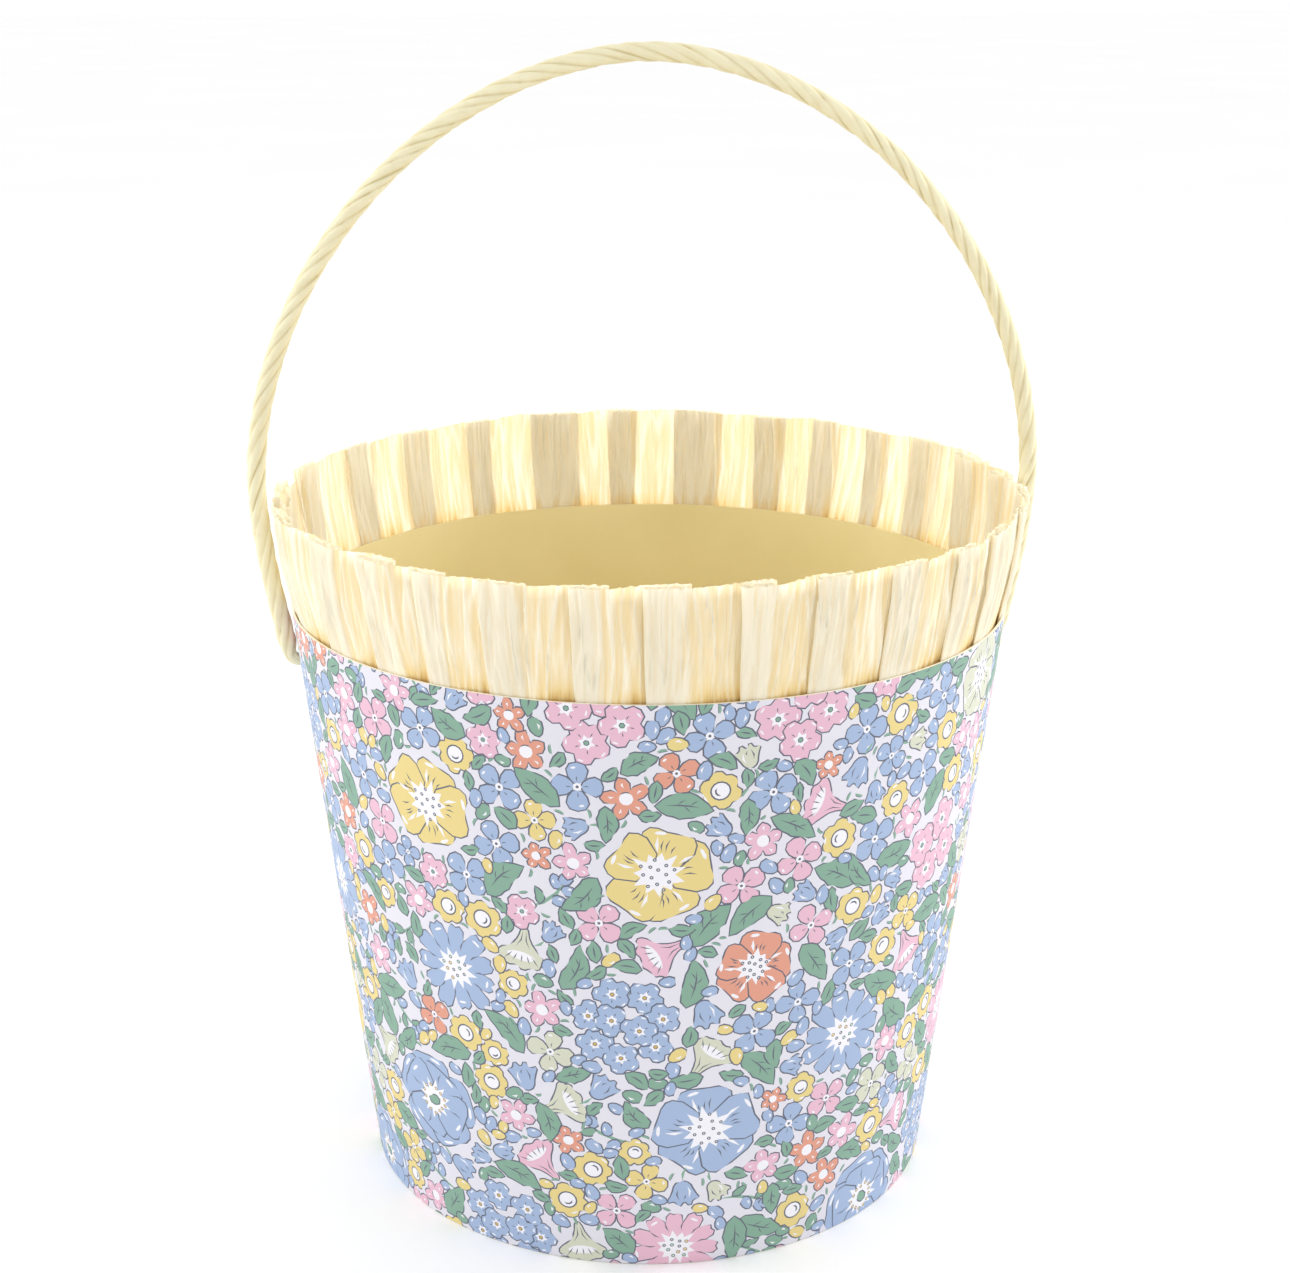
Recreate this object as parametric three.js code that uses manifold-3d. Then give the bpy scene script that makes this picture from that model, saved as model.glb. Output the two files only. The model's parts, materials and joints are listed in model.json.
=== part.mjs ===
// A small round card basket with a paper frill round its mouth and one swinging handle.
// Millimetres, +Z up. The origin is the centre of the underside, on the surface that it stands on.
// The handle's hinge line runs along X. The basket is built in layers, from the outside in:
// printed sleeve, frill (at the rim) or base hoop (at the foot), liner, patches round the holes.

import * as THREE from 'three';
import { mergeVertices } from 'three/addons/utils/BufferGeometryUtils.js';
import Module from 'manifold-3d';

// Driving dimensions.
const rimRadius = 87.5;
const footRadius = 71.3;
const bodyHeight = 145.3;
const frillRise = 26.7;
const frillTopRadius = 90.8;
const archTop = 276.4;
const archHalfWidth = 94.5;
const widestHeight = 174;
const hingeHeight = 130;
const ropeRadius = 2.1;

// Thicknesses, and the gap left between neighbours.
const cardThickness = 0.8;
const boardThickness = 2;
const coverThickness = 0.5;
const hoopThickness = 0.6;
const patchThickness = 0.6;
const wireRadius = 0.6;
const bindingRadius = 1.5;
const gap = 0.3;

// Smaller sizes.
const frillTuck = 11.5;
const frillTuckThickness = 0.6;
const frillTopThickness = 1.4;
const linerProud = 0.4;
const hoopHeight = 13;
const holeRadius = 1.95;
const patchRadius = 9;
const archFullness = 1.87;
const legLean = 9.5;
const upperLegPull = 15;
const lowerLegPull = 10;
const elbowRadius = 2.7;
const elbowOffset = 0.1;
const ropeEndRise = 1.2;
const hookBendRadius = 2.2;
const hookLength = 9;
const hookInset = 3.6;
const hookClearance = 0.6;
// The frill bends most at this share of its rise, and has this share of its flare there.
const frillBendRise = 0.45;
const frillBendFlare = 0.55;

const roundSegments = 72;
const barSides = 32;
const ropeSides = 10;
const wireSides = 6;
const archSteps = 20;
const ropeSteps = 84;
const wireSteps = 240;
const bindingSteps = 12;
const searchSteps = 2000;

const wasm = await Module();
wasm.setup();

// Distances from the sleeve's outer face to the outer face of each layer inside it.
const frillDepth = cardThickness + gap;
const linerDepth = frillDepth + frillTuckThickness + gap;
const patchDepth = linerDepth + cardThickness + gap;

// The radius of the sleeve's outer face at a height.
function wallRadius(height) {
  return footRadius + ((rimRadius - footRadius) * height) / bodyHeight;
}

function solidOf(geometry) {
  const bare = geometry.clone();
  bare.deleteAttribute('normal');
  bare.deleteAttribute('uv');
  const merged = mergeVertices(bare, 1e-4);
  const vertProperties = new Float32Array(merged.attributes.position.array);
  const triVerts = new Uint32Array(merged.index.array);
  return new wasm.Manifold(new wasm.Mesh({ numProp: 3, vertProperties, triVerts }));
}

function geometryOf(solid) {
  const { vertProperties, triVerts } = solid.getMesh();
  const geometry = new THREE.BufferGeometry();
  geometry.setAttribute('position', new THREE.BufferAttribute(vertProperties, 3));
  geometry.setIndex(new THREE.BufferAttribute(triVerts, 1));
  geometry.computeVertexNormals();
  return geometry;
}

// A solid of revolution about Z from a profile of [radius, height] corners.
function turned(profile) {
  const points = profile.map(([radius, height]) => new THREE.Vector2(radius, height));
  return new THREE.LatheGeometry(points, roundSegments).rotateX(Math.PI / 2);
}

// A ring that follows the wall's slope: depth is how far its outer face lies inside the sleeve's.
function wallRing(depth, thickness, low, high) {
  const outerLow = wallRadius(low) - depth;
  const outerHigh = wallRadius(high) - depth;
  return turned([
    [outerLow, low],
    [outerHigh, high],
    [outerHigh - thickness, high],
    [outerLow - thickness, low],
    [outerLow, low],
  ]);
}

function disc(radius, low, thickness) {
  return turned([
    [0, low],
    [radius, low],
    [radius, low + thickness],
    [0, low + thickness],
  ]);
}

// A round bar along X through the wall on one side, at the hinge line.
function barThroughWall(radius, side) {
  const length = rimRadius / 2;
  const bar = new THREE.CylinderGeometry(radius, radius, length, barSides).rotateZ(Math.PI / 2);
  bar.translate(side * (rimRadius - length / 4), 0, hingeHeight);
  return solidOf(bar);
}

function withHandleHoles(geometry) {
  const left = barThroughWall(holeRadius, -1);
  const right = barThroughWall(holeRadius, 1);
  return geometryOf(solidOf(geometry).subtract(left).subtract(right));
}

// The stack of flat pieces at the foot, from the floor up.
const boardLow = coverThickness + gap;
const linerLow = boardLow + boardThickness + gap;

function printedSleeve() {
  return withHandleHoles(wallRing(0, cardThickness, 0, bodyHeight));
}

function liner() {
  return withHandleHoles(wallRing(linerDepth, cardThickness, linerLow, bodyHeight + linerProud));
}

function baseCover() {
  return disc(wallRadius(0) - cardThickness - gap, 0, coverThickness);
}

function baseHoop() {
  return wallRing(cardThickness + gap, hoopThickness, boardLow, boardLow + hoopHeight);
}

function baseBoard() {
  const radius = wallRadius(boardLow) - cardThickness - gap - hoopThickness - gap;
  return disc(radius, boardLow, boardThickness);
}

function floorCard() {
  const radius = wallRadius(linerLow) - linerDepth - cardThickness - gap;
  return disc(radius, linerLow, cardThickness);
}

// The frill: a thin skirt held between sleeve and liner, which opens out above the rim.
function frill() {
  const low = bodyHeight - frillTuck;
  const top = bodyHeight + frillRise;
  const midHeight = bodyHeight + frillRise * frillBendRise;
  const lowOuter = wallRadius(low) - frillDepth;
  const rimOuter = wallRadius(bodyHeight) - frillDepth;
  const midOuter = rimOuter + (frillTopRadius - rimOuter) * frillBendFlare;
  return turned([
    [lowOuter, low],
    [rimOuter, bodyHeight],
    [midOuter, midHeight],
    [frillTopRadius, top],
    [frillTopRadius - frillTopThickness, top],
    [midOuter - frillTopThickness, midHeight],
    [rimOuter - frillTuckThickness, bodyHeight + linerProud + gap],
    [lowOuter - frillTuckThickness, low],
    [lowOuter, low],
  ]);
}

// A round patch of card behind the liner's handle hole, cut from a ring taller than itself.
function holePatch(side) {
  const low = hingeHeight - 2 * patchRadius;
  const high = hingeHeight + 2 * patchRadius;
  const ring = solidOf(wallRing(patchDepth, patchThickness, low, high));
  const round = ring.intersect(barThroughWall(patchRadius, side));
  return geometryOf(round.subtract(barThroughWall(holeRadius, side)));
}

// Half of the handle's centreline, in the XZ plane: from the top of the arch, down past the
// frill, round the elbow, in through the wall along the hinge line, and up the hook inside.
function handleHalfLine() {
  const centreTop = archTop - ropeRadius;
  const line = new THREE.Path();
  line.moveTo(0, centreTop);
  const arch = Array.from({ length: archSteps }, (_, i) => {
    const angle = (Math.PI / 2) * (1 - (i + 1) / archSteps);
    const across = archHalfWidth * Math.cos(angle) ** (2 / archFullness);
    const up = (centreTop - widestHeight) * Math.sin(angle) ** (2 / archFullness);
    return new THREE.Vector2(across, widestHeight + up);
  });
  line.splineThru(arch);
  const lean = THREE.MathUtils.degToRad(legLean);
  const elbowCentre = wallRadius(hingeHeight) + elbowOffset;
  const elbowStart = new THREE.Vector2(
    elbowCentre + elbowRadius * Math.cos(lean),
    hingeHeight + elbowRadius * (1 - Math.sin(lean)),
  );
  line.bezierCurveTo(
    archHalfWidth,
    widestHeight - upperLegPull,
    elbowStart.x + lowerLegPull * Math.sin(lean),
    elbowStart.y + lowerLegPull * Math.cos(lean),
    elbowStart.x,
    elbowStart.y,
  );
  line.absarc(elbowCentre, hingeHeight + elbowRadius, elbowRadius, -lean, -Math.PI / 2, true);
  const hookX = wallRadius(hingeHeight) - patchDepth - patchThickness - hookInset;
  line.lineTo(hookX + hookBendRadius, hingeHeight);
  const hookCentre = hingeHeight + hookBendRadius;
  line.absarc(hookX + hookBendRadius, hookCentre, hookBendRadius, -Math.PI / 2, -Math.PI, true);
  line.lineTo(hookX, hingeHeight + hookLength);
  return line;
}

const halfLine = handleHalfLine();

// Points of the centreline between two distances from the top of the arch.
function linePoints(from, to, steps) {
  const length = halfLine.getLength();
  return Array.from({ length: steps + 1 }, (_, i) => {
    const along = from + ((to - from) * i) / steps;
    const point = halfLine.getPointAt(Math.min(1, Math.abs(along) / length));
    return new THREE.Vector3(Math.sign(along) * point.x, 0, point.y);
  });
}

function circle(shape, radius, sides) {
  const corners = Array.from({ length: sides }, (_, i) => {
    const angle = (2 * Math.PI * i) / sides;
    return new THREE.Vector2(radius * Math.cos(angle), radius * Math.sin(angle));
  });
  return shape.setFromPoints(corners);
}

// A rod, or with a bore a tube, that follows the handle's centreline.
function alongHandle(from, to, steps, radius, bore) {
  const section = circle(new THREE.Shape(), radius, bore ? ropeSides : wireSides);
  if (bore) {
    section.holes.push(circle(new THREE.Path(), bore, wireSides));
  }
  const extrudePath = new THREE.CatmullRomCurve3(linePoints(from, to, steps));
  return new THREE.ExtrudeGeometry(section, { steps, bevelEnabled: false, extrudePath });
}

// How far along the centreline, from the top of the arch, it first comes down to a height.
function distanceToHeight(height) {
  const length = halfLine.getLength();
  for (let i = 0; i <= searchSteps; i += 1) {
    const u = i / searchSteps;
    if (halfLine.getPointAt(u).y <= height) {
      return u * length;
    }
  }
  return length;
}

// The rope gives way to its thin bound end just above the elbow, and that stops before the hook.
const ropeEnd = distanceToHeight(hingeHeight + elbowRadius + ropeEndRise);
const hookRun = hookLength - hookBendRadius + (hookBendRadius * Math.PI) / 2;
const wireEnd = halfLine.getLength();
const bindingEnd = wireEnd - hookRun - hookClearance;
// The bore's flats have to clear the wire, so its corners lie farther out.
const boreRadius = (wireRadius + gap) / Math.cos(Math.PI / wireSides);

function rope() {
  return alongHandle(-ropeEnd, ropeEnd, ropeSteps, ropeRadius, boreRadius);
}

function boundEnd(side) {
  const start = ropeEnd + gap;
  return side > 0
    ? alongHandle(start, bindingEnd, bindingSteps, bindingRadius, boreRadius)
    : alongHandle(-bindingEnd, -start, bindingSteps, bindingRadius, boreRadius);
}

function coreWire() {
  return alongHandle(-wireEnd, wireEnd, wireSteps, wireRadius, 0);
}

const materials = {
  print: { color: 0xededf7, roughness: 0.62, metalness: 0 },
  yellowCard: { color: 0xe4cf94, roughness: 0.6, metalness: 0 },
  greyBoard: { color: 0xb9ad97, roughness: 0.85, metalness: 0 },
  whitePaper: { color: 0xf2f0ea, roughness: 0.75, metalness: 0 },
  crepe: { color: 0xfaecc8, roughness: 0.85, metalness: 0 },
  rope: { color: 0xf3ecc3, roughness: 0.85, metalness: 0 },
  wire: { color: 0xb8bcc0, roughness: 0.4, metalness: 1 },
};

function piece(name, geometry, look) {
  const mesh = new THREE.Mesh(geometry, new THREE.MeshStandardMaterial(look));
  mesh.name = name;
  return mesh;
}

const body = new THREE.Group();
body.add(piece('printed_sleeve', printedSleeve(), materials.print));
body.add(piece('liner_sleeve', liner(), materials.yellowCard));
body.add(piece('floor_card', floorCard(), materials.yellowCard));
body.add(piece('base_board', baseBoard(), materials.greyBoard));
body.add(piece('base_hoop', baseHoop(), materials.greyBoard));
body.add(piece('base_cover', baseCover(), materials.whitePaper));
body.add(piece('frill', frill(), materials.crepe));
body.add(piece('hole_patch_left', holePatch(-1), materials.yellowCard));
body.add(piece('hole_patch_right', holePatch(1), materials.yellowCard));

const handle = new THREE.Group();
handle.add(piece('handle_rope', rope(), materials.rope));
handle.add(piece('handle_bound_end_left', boundEnd(-1), materials.rope));
handle.add(piece('handle_bound_end_right', boundEnd(1), materials.rope));
handle.add(piece('handle_wire', coreWire(), materials.wire));

const basket = new THREE.Group();
basket.add(body, handle);

export default basket;
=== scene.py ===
"""A small card basket with a flowered sleeve, a crepe-paper frill and a twisted paper handle.

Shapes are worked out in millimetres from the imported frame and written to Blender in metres.
The printed flowers are drawn on the unrolled sleeve: across is millimetres round the wall at
its middle height, and up is millimetres along the wall's slope from the foot.
"""
import json
import math
import random
from math import atan2, cos, hypot, pi, radians, sin, sqrt, tan

import bpy
import numpy as np
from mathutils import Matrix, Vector, noise
from mathutils.geometry import delaunay_2d_cdt


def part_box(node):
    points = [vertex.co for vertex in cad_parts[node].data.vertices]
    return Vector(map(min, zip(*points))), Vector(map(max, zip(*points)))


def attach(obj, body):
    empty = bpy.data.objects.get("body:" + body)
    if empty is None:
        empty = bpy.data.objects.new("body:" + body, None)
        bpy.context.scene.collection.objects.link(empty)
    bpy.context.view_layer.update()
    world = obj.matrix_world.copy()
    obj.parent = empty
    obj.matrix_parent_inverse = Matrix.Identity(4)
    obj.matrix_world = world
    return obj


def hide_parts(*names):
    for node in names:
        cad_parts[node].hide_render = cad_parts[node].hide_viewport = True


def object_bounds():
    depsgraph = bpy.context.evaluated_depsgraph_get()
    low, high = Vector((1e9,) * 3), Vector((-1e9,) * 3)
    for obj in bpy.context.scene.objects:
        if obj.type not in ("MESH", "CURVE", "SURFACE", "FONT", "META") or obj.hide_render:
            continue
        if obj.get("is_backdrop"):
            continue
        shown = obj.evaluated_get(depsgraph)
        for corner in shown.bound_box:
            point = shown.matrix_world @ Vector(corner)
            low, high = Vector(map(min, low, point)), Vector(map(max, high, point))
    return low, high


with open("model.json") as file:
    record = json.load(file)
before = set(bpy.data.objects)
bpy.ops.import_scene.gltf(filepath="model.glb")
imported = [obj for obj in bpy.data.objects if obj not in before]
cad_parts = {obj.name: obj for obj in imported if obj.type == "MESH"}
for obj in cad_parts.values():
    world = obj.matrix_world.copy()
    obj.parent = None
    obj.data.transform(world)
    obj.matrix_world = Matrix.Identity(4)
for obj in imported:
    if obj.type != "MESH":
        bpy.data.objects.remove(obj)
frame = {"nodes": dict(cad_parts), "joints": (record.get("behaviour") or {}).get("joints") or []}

CAD_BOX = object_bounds()
METRE = 0.001
TURN = 2 * pi


def box_mm(node):
    """A CAD node's lowest and highest corners, in millimetres."""
    low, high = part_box(node)
    return Vector(low) / METRE, Vector(high) / METRE


# ---------------------------------------------------------------- driving dimensions, from the frame
SLEEVE_HIGH = box_mm("printed_sleeve")[1]
RIM_R = SLEEVE_HIGH.x
HEIGHT = SLEEVE_HIGH.z
# the foot's edge stands out past the disc that covers the underside
FOOT_PAST_COVER = 1.1
FOOT_R = box_mm("base_cover")[1].x + FOOT_PAST_COVER
LINER_LOW, LINER_HIGH = box_mm("liner_sleeve")
FRILL_LOW, FRILL_HIGH = box_mm("frill")
ROPE_LOW, ROPE_HIGH = box_mm("handle_rope")
HINGE_Z = frame["joints"][0]["pos_m"][2] / METRE
SLOPE = atan2(RIM_R - FOOT_R, HEIGHT)
WALL_LENGTH = HEIGHT / cos(SLOPE)
MIDDLE_R = (RIM_R + FOOT_R) / 2
AROUND = TURN * MIDDLE_R
# how thick the card of both sleeves is
CARD = 0.6


def wall_radius(z):
    """The radius of the sleeve's outer face at height z."""
    return FOOT_R + (RIM_R - FOOT_R) * z / HEIGHT


# ---------------------------------------------------------------- mesh and material helpers
def add_object(name, data):
    made = bpy.data.objects.new(name, data)
    bpy.context.scene.collection.objects.link(made)
    return made


def new_piece(name, points, faces, materials, slots=None, corner_normals=None):
    """A smooth mesh piece from points in millimetres."""
    mesh = bpy.data.meshes.new(name)
    mesh.from_pydata([tuple(c * METRE for c in p) for p in points], [], faces)
    for material in materials:
        mesh.materials.append(material)
    if slots is not None:
        mesh.polygons.foreach_set("material_index", slots)
    mesh.polygons.foreach_set("use_smooth", [True] * len(mesh.polygons))
    mesh.update()
    if corner_normals is not None:
        mesh.normals_split_custom_set(corner_normals)
    return add_object(name, mesh)


def eased(t):
    """From 0 to 1, slow at both ends."""
    return t * t * (3 - 2 * t)


def tube_faces(count, rows):
    """Quads between closed rows of count points each."""
    faces = []
    for j in range(rows):
        low, high = j * count, (j + 1) * count
        faces += [(low + i, low + (i + 1) % count, high + (i + 1) % count, high + i) for i in range(count)]
    return faces


def store(piece, name, values):
    """Keeps one value per point on the mesh for its material to read."""
    attribute = piece.data.attributes.new(name, "FLOAT", "POINT")
    attribute.data.foreach_set("value", values)


def linear(colour):
    """A colour given as 0 to 255 screen values, in linear light."""
    return tuple(((c / 255 + 0.055) / 1.055) ** 2.4 if c > 10 else c / 3294 for c in colour) + (1,)


class Look:
    """A node material with one Principled shader, and short ways to add to it."""

    def __init__(self, name, colour, roughness):
        self.material = bpy.data.materials.new(name)
        self.material.use_nodes = True
        self.tree = self.material.node_tree
        self.shader = self.tree.nodes["Principled BSDF"]
        self.output = self.tree.nodes["Material Output"]
        self.colour = linear(colour)
        self.shader.inputs["Base Color"].default_value = self.colour
        self.shader.inputs["Roughness"].default_value = roughness

    def node(self, kind, **values):
        made = self.tree.nodes.new(kind)
        for key, value in values.items():
            if key in made.inputs:
                made.inputs[key].default_value = value
            else:
                setattr(made, key, value)
        return made

    def link(self, start, end):
        self.tree.links.new(start, end)

    def coordinates(self, stretch):
        """Object coordinates, stretched for a pattern with a grain."""
        place = self.node("ShaderNodeTexCoord")
        mapping = self.node("ShaderNodeMapping", Scale=stretch)
        self.link(place.outputs["Object"], mapping.inputs["Vector"])
        return mapping.outputs["Vector"]

    def noise(self, size, detail=2.0, rough=0.5, stretch=(1, 1, 1)):
        made = self.node("ShaderNodeTexNoise", Scale=size, Detail=detail, Roughness=rough)
        self.link(self.coordinates(stretch), made.inputs["Vector"])
        return made.outputs["Fac"]

    def stored(self, name, pattern, share):
        """A value kept on the mesh, with a share of a pattern added to it."""
        attribute = self.node("ShaderNodeAttribute", attribute_name=name)
        total = self.node("ShaderNodeMath", operation="MULTIPLY_ADD")
        self.link(pattern, total.inputs[0])
        total.inputs[1].default_value = share
        self.link(attribute.outputs["Fac"], total.inputs[2])
        return total.outputs[0]

    def vary_colour(self, factor, start, end, low=0.3, high=0.7, between=()):
        """The base colour runs from start to end as factor goes from low to high."""
        ramp = self.node("ShaderNodeValToRGB")
        ramp.color_ramp.elements[0].position = low
        ramp.color_ramp.elements[0].color = linear(start)
        ramp.color_ramp.elements[1].position = high
        ramp.color_ramp.elements[1].color = linear(end)
        for place, colour in between:
            ramp.color_ramp.elements.new(place).color = linear(colour)
        self.link(factor, ramp.inputs["Fac"])
        self.link(ramp.outputs["Color"], self.shader.inputs["Base Color"])
        return ramp.outputs["Color"]

    def vary_roughness(self, factor, low, high):
        span = self.node("ShaderNodeMapRange")
        span.inputs["To Min"].default_value = low
        span.inputs["To Max"].default_value = high
        self.link(factor, span.inputs["Value"])
        self.link(span.outputs["Result"], self.shader.inputs["Roughness"])

    def bump(self, height, strength, distance_mm, after=None):
        made = self.node("ShaderNodeBump", Strength=strength, Distance=distance_mm * METRE)
        self.link(height, made.inputs["Height"])
        if after is not None:
            self.link(after, made.inputs["Normal"])
        self.link(made.outputs["Normal"], self.shader.inputs["Normal"])
        return made.outputs["Normal"]


# ---------------------------------------------------------------- camera, floor and lights
FLOOR_HALF = 9000
FLOOR_Z = -0.2
# the camera's place, in millimetres, and the way it looks
VIEW_TURN = radians(-6)
VIEW_DOWN = radians(17.42)
VIEW_DISTANCE = 529.5
VIEW_HEIGHT = 299.2
VIEW_LEFT = 0.93
LENS_PER_WIDTH = 2228 / 1290


def add_camera():
    """A portrait lens in front of the basket and above it, a little to the left of its front."""
    data = bpy.data.cameras.new("camera")
    data.sensor_width = 36
    data.sensor_fit = "HORIZONTAL"
    data.lens = data.sensor_width * LENS_PER_WIDTH
    data.clip_start = 0.01
    camera = add_object("camera", data)
    across = -VIEW_LEFT * cos(VIEW_TURN) + VIEW_DISTANCE * sin(VIEW_TURN)
    along = -VIEW_LEFT * sin(VIEW_TURN) - VIEW_DISTANCE * cos(VIEW_TURN)
    camera.location = Vector((across, along, VIEW_HEIGHT)) * METRE
    camera.rotation_euler = (pi / 2 - VIEW_DOWN, 0, VIEW_TURN)
    bpy.context.scene.camera = camera


def add_area_light(name, place, size, power, target=(0, 0, 0.11), spread=180):
    data = bpy.data.lights.new(name, "AREA")
    data.shape = "RECTANGLE"
    data.size, data.size_y = size
    data.energy = power
    data.spread = radians(spread)
    light = add_object(name, data)
    light.location = place
    light.rotation_euler = (Vector(target) - Vector(place)).to_track_quat("-Z", "Y").to_euler()
    light.visible_camera = False


def add_studio():
    """A white floor in soft light from all sides, with a softbox on either side and a narrow strip of
    light behind the frill, which shows how thin its paper is."""
    bpy.context.scene.view_settings.view_transform = "Standard"
    look = Look("studio_floor", (253, 253, 253), 0.9)
    look.vary_colour(look.noise(3.0), (252, 252, 252), (254, 254, 254))
    corners = [(x * FLOOR_HALF, y * FLOOR_HALF, FLOOR_Z) for x, y in ((-1, -1), (1, -1), (1, 1), (-1, 1))]
    floor = new_piece("studio_floor", corners, [(0, 1, 2, 3)], [look.material])
    floor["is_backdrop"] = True
    world = bpy.data.worlds.new("studio")
    world.use_nodes = True
    world.node_tree.nodes["Background"].inputs["Color"].default_value = (1, 1, 1, 1)
    world.node_tree.nodes["Background"].inputs["Strength"].default_value = 1.01
    bpy.context.scene.world = world
    add_area_light("left_softbox", (-1.1, 0.25, 0.5), (0.5, 0.8), 4.8)
    add_area_light("right_softbox", (1.1, 0.25, 0.5), (0.5, 0.8), 6.6)
    add_area_light("back_strip", (0.0, 1.2, 0.185), (1.0, 0.02), 0.42, (0, 0.09, 0.165), 8)


# ---------------------------------------------------------------- the printed flowers
BLUE, YELLOW, CORAL, PINK = "blue", "yellow", "coral", "pink"
SAGE, GREEN, LINE, GOLD, WHITE = "sage", "green", "line", "gold", "white"
INKS = {
    "ground": (219, 217, 226),
    WHITE: (234, 233, 239),
    BLUE: (159, 178, 209),
    YELLOW: (223, 203, 136),
    CORAL: (217, 153, 132),
    PINK: (223, 181, 199),
    SAGE: (205, 207, 188),
    GREEN: (130, 166, 147),
    LINE: (98, 102, 116),
    GOLD: (200, 170, 98),
}
INK_ORDER = list(INKS)
LINE_WIDTH = 0.36


def polar(radius, angle):
    return radius * cos(angle), radius * sin(angle)


def moved(points, x=0.0, y=0.0, angle=0.0):
    c, s = cos(angle), sin(angle)
    return [(x + c * px - s * py, y + s * px + c * py) for px, py in points]


def grown(points, widths):
    """The outline pushed out along its corners' normals by widths, for anticlockwise points."""
    made = []
    count = len(points)
    for i, (x, y) in enumerate(points):
        ax, ay = points[i - 1]
        bx, by = points[(i + 1) % count]
        nx, ny = by - ay, ax - bx
        size = hypot(nx, ny) or 1
        made.append((x + nx / size * widths[i], y + ny / size * widths[i]))
    return made


def inked(points, ink, rng, broken=1.0):
    """A filled shape with a thin line round it that breaks off here and there."""
    widths = []
    left = rng.randint(3, 7)
    drawn = True
    for _ in points:
        if left == 0:
            drawn = not drawn
            left = rng.randint(3, 8) if drawn else (1 if rng.random() < broken else 0)
            drawn = drawn or left == 0
            left = max(left, 1)
        left -= 1
        widths.append(LINE_WIDTH * rng.uniform(0.8, 1.15) if drawn else -0.1)
    return [(grown(points, widths), LINE), (points, ink)]


def stroke(points, width, ink=LINE):
    """A line that tapers to both ends."""
    left, right = [], []
    for i in range(1, len(points) - 1):
        ax, ay = points[i - 1]
        bx, by = points[i + 1]
        nx, ny = ay - by, bx - ax
        size = hypot(nx, ny) or 1
        half = width / 2 / size
        left.append((points[i][0] + nx * half, points[i][1] + ny * half))
        right.append((points[i][0] - nx * half, points[i][1] - ny * half))
    return [([points[0], *right, points[-1], *reversed(left)], ink)]


def arc(radius, start, end):
    """Five points along an arc about the origin."""
    return [polar(radius, start + (end - start) * i / 4) for i in range(5)]


def ring(radius_at, count):
    """A closed outline from a radius that depends on the angle."""
    return [polar(radius_at(TURN * i / count), TURN * i / count) for i in range(count)]


def lobed(radius, lobes, depth, count, rng, sharp):
    """A flower's outline with rounded lobes."""
    uneven = [rng.uniform(0.92, 1.06) for _ in range(lobes)]

    def radius_at(angle):
        turn = angle / TURN * lobes % lobes
        lobe = abs(sin(pi * turn)) ** sharp
        return radius * (1 - depth + depth * lobe) * uneven[int(turn) % lobes]

    return ring(radius_at, count)


def petal(length, width, rng, notch):
    """One broad petal that points along +X, with a wavy outer edge."""
    start, count = 0.25, 12
    points = []
    for i in range(count):
        turn = pi * (i / (count - 1) - 0.5)
        reach = cos(turn) ** 0.55 if abs(turn) < 1.5 else 0
        wave = 1 - notch * (0.5 + 0.5 * cos(4 * turn)) + rng.uniform(-0.02, 0.02)
        x = length * (start + (1 - start) * reach * wave)
        y = width / 2 * sin(turn) * (0.55 + 0.45 * cos(turn) ** 0.5 if abs(turn) < 1.5 else 0.5)
        points.append((x, y * 1.15))
    return points + [(length * start * 0.5, 0)]


def dot(x, y, radius, ink, corners):
    return (moved(ring(lambda _: radius, corners), x, y), ink)


def stamen(x, y, ink):
    """A tiny outlined ring."""
    rim = [dot(x, y, 0.52, LINE, 7)] if ink != LINE else []
    return rim + [dot(x, y, 0.42 if rim else 0.48, ink, 6), dot(x, y, 0.2, WHITE, 4)]


def burst(radius, spikes, rng):
    """A ragged round white patch."""
    points = []
    for i in range(spikes * 2):
        reach = radius * (rng.uniform(0.9, 1.2) if i % 2 == 0 else rng.uniform(0.58, 0.72))
        points.append(polar(reach, pi * i / spikes))
    return (points, WHITE)


def rounded(points):
    """The outline with its corners cut twice as fine."""
    made = []
    for i, (x, y) in enumerate(points):
        nx, ny = points[(i + 1) % len(points)]
        made += [(x * 0.75 + nx * 0.25, y * 0.75 + ny * 0.25), (x * 0.25 + nx * 0.75, y * 0.25 + ny * 0.75)]
    return made


def ray(radius, angle, reaches, swings, width, ink=LINE):
    """A short line outward through these shares of the radius, swung a little to one side."""
    return stroke([polar(radius * reach, angle + swing) for reach, swing in zip(reaches, swings)], width, ink)


def scaled(points, size):
    return [(x * size, y * size) for x, y in points]


def placed(shapes, x, y, angle=0.0):
    """A whole motif, turned and moved."""
    return [(moved(points, x, y, angle), ink) for points, ink in shapes]


def gleam(radius, start, end, width):
    """A white touch that follows the edge of a petal."""
    return stroke(arc(radius, start, end), width, WHITE)


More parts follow.
